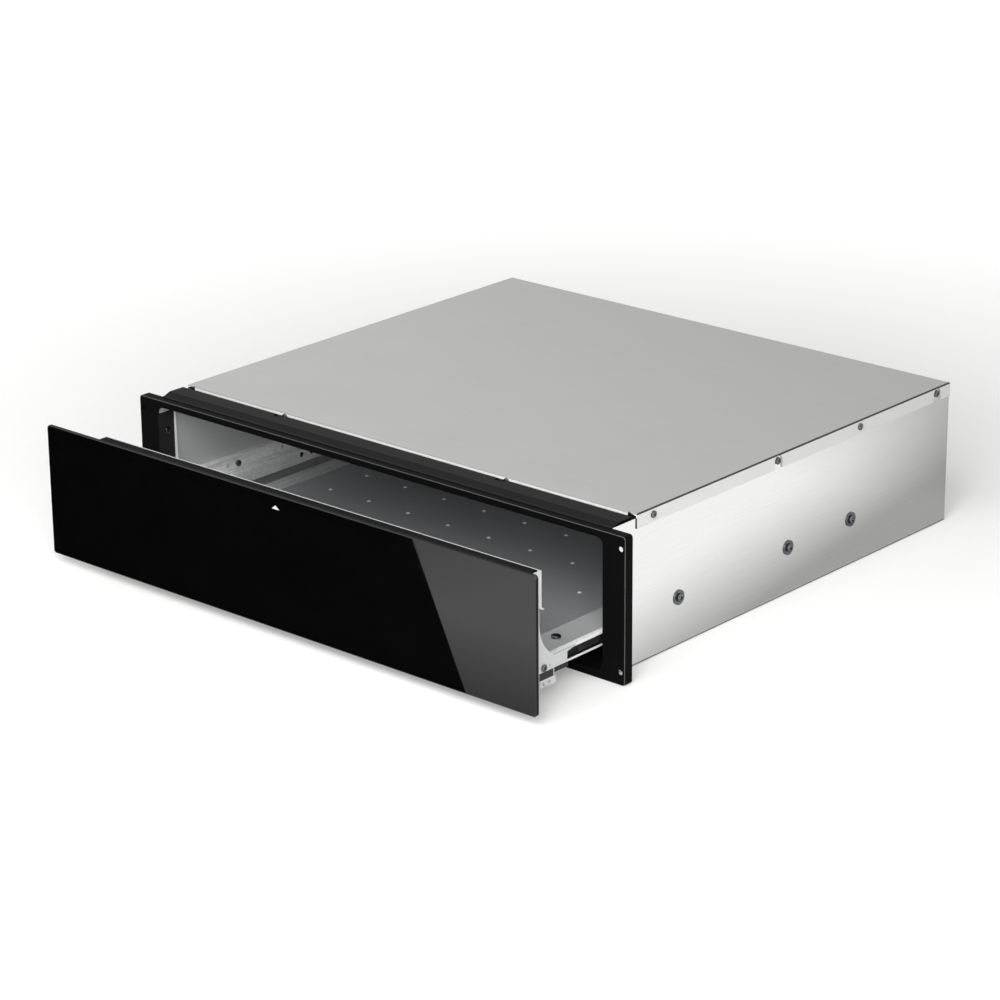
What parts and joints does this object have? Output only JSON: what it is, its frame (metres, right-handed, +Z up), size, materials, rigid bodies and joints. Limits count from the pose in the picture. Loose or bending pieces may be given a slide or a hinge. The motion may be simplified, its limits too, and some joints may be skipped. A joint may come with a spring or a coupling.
{
  "type": "dish warming drawer",
  "caption": "Built-in warming drawer: sheet-steel housing, black frame, glass-fronted drawer on telescopic slides, fan heater behind the tray.",
  "frame": {"origin": "centre of the housing's underside, on the surface it stands on", "axes": "+X to the right seen from the front, +Y to the rear, +Z up; the drawer opens towards -Y"},
  "size_m": [0.595, 0.6345, 0.14],
  "materials": {
    "zinc_sheet": "zinc-coated sheet steel, satin",
    "black_paint": "black powder coat, satin",
    "black_glass": "toughened glass, black behind, polished",
    "polished_steel": "stainless steel, polished",
    "slide_steel": "zinc-coated cold-rolled steel",
    "ball_steel": "hardened bearing steel, polished",
    "screw_steel": "bright zinc plate",
    "black_plastic": "moulded, fine grain",
    "grey_plastic": "moulded acetal",
    "foam_tape": "closed-cell foam",
    "black_rubber": "soft, matt",
    "motor_iron": "laminated electrical steel",
    "coil_tape": "varnished insulating tape",
    "pressed_aluminium": "bare pressed sheet",
    "heater_tube": "oxidised heating tube",
    "cutout_ceramic": "unglazed",
    "white_plastic": "moulded polyamide",
    "amber_lens": "clear amber"
  },
  "bodies": {
    "housing": {"side_panel_right": "zinc_sheet", "side_panel_left": "zinc_sheet", "bottom_panel": "zinc_sheet", "back_panel": "zinc_sheet", "top_cover": "zinc_sheet", "duct_cover": "zinc_sheet", "motor_plate": "zinc_sheet", "front_frame": "black_paint", "top_strip": "black_paint", "slide_right_cabinet_rail": "slide_steel", "slide_left_cabinet_rail": "slide_steel", "cover_screws": "screw_steel", "frame_screws": "screw_steel", "slide_screws": "screw_steel", "slide_washers": "screw_steel", "slide_nuts": "screw_steel", "catch_body": "black_plastic", "cord_gland": "black_rubber", "fan_motor": "motor_iron", "motor_coil": "coil_tape", "heating_element": "heater_tube", "thermal_cutout": "cutout_ceramic", "terminal_block": "white_plastic"},
    "catch_plunger_body": {"catch_plunger": "grey_plastic"},
    "fan": {"fan_impeller": "pressed_aluminium", "fan_shaft": "screw_steel"},
    "slide_right_middle": {"slide_right_middle_rail": "slide_steel"},
    "slide_left_middle": {"slide_left_middle_rail": "slide_steel"},
    "slide_right_outer_cage_body": {"slide_right_outer_cage": "slide_steel", "slide_right_outer_balls": "ball_steel"},
    "slide_left_outer_cage_body": {"slide_left_outer_cage": "slide_steel", "slide_left_outer_balls": "ball_steel"},
    "slide_right_inner_cage_body": {"slide_right_inner_cage": "slide_steel", "slide_right_inner_balls": "ball_steel"},
    "slide_left_inner_cage_body": {"slide_left_inner_cage": "slide_steel", "slide_left_inner_balls": "ball_steel"},
    "drawer": {"glass_front": "black_glass", "glass_tape": "foam_tape", "front_support": "black_paint", "inner_panel": "zinc_sheet", "drawer_front_screws": "screw_steel", "bracket_right": "zinc_sheet", "bracket_left": "zinc_sheet", "bracket_screws": "screw_steel", "slide_right_drawer_rail": "slide_steel", "slide_left_drawer_rail": "slide_steel", "rail_end_blocks": "black_plastic", "rail_clips": "zinc_sheet", "tray_base": "zinc_sheet", "tray_screws": "screw_steel", "floor_plate": "polished_steel", "side_trim": "zinc_sheet", "cross_bearer_front": "zinc_sheet", "cross_bearer_rear": "zinc_sheet", "striker": "zinc_sheet", "thermostat": "black_plastic", "switch_body": "black_plastic", "indicator_lamp": "amber_lens"},
    "knob": {"temperature_knob": "black_plastic"},
    "rocker": {"power_rocker": "black_plastic"}
  },
  "joints": [
    {"name": "drawer_slide", "type": "slide", "parent": "housing", "child": "drawer", "axis": [0, -1, 0], "range_m": [-0.092, 0.308]},
    {"name": "right_middle_slide", "type": "slide", "parent": "housing", "child": "slide_right_middle", "axis": [0, -1, 0], "range_m": [-0.046, 0.154]},
    {"name": "right_outer_cage_slide", "type": "slide", "parent": "housing", "child": "slide_right_outer_cage_body", "axis": [0, -1, 0], "range_m": [-0.023, 0.077]},
    {"name": "right_inner_cage_slide", "type": "slide", "parent": "housing", "child": "slide_right_inner_cage_body", "axis": [0, -1, 0], "range_m": [-0.069, 0.231]},
    {"name": "left_middle_slide", "type": "slide", "parent": "housing", "child": "slide_left_middle", "axis": [0, -1, 0], "range_m": [-0.046, 0.154]},
    {"name": "left_outer_cage_slide", "type": "slide", "parent": "housing", "child": "slide_left_outer_cage_body", "axis": [0, -1, 0], "range_m": [-0.023, 0.077]},
    {"name": "left_inner_cage_slide", "type": "slide", "parent": "housing", "child": "slide_left_inner_cage_body", "axis": [0, -1, 0], "range_m": [-0.069, 0.231]},
    {"name": "temperature_knob_turn", "type": "hinge", "parent": "drawer", "child": "knob", "pos_m": [0.222, -0.35, 0.092], "axis": [0, -1, 0], "range_deg": [0, 270]},
    {"name": "power_rocker_tip", "type": "hinge", "parent": "drawer", "child": "rocker", "pos_m": [0.176, -0.352, 0.092], "axis": [1, 0, 0], "range_deg": [0, 16]},
    {"name": "catch_push", "type": "slide", "parent": "housing", "child": "catch_plunger_body", "axis": [0, 1, 0], "range_m": [0, 0.005], "stiffness_N_per_m": 150, "springref_m": -0.002},
    {"name": "fan_spin", "type": "hinge", "parent": "housing", "child": "fan", "pos_m": [0, 0.206, 0.08], "axis": [0, 1, 0], "continuous": true}
  ],
  "couplings": [
    {"joint": "right_middle_slide", "follows": "drawer_slide", "ratio": 0.5},
    {"joint": "right_outer_cage_slide", "follows": "drawer_slide", "ratio": 0.25},
    {"joint": "right_inner_cage_slide", "follows": "drawer_slide", "ratio": 0.75},
    {"joint": "left_middle_slide", "follows": "drawer_slide", "ratio": 0.5},
    {"joint": "left_outer_cage_slide", "follows": "drawer_slide", "ratio": 0.25},
    {"joint": "left_inner_cage_slide", "follows": "drawer_slide", "ratio": 0.75}
  ]
}
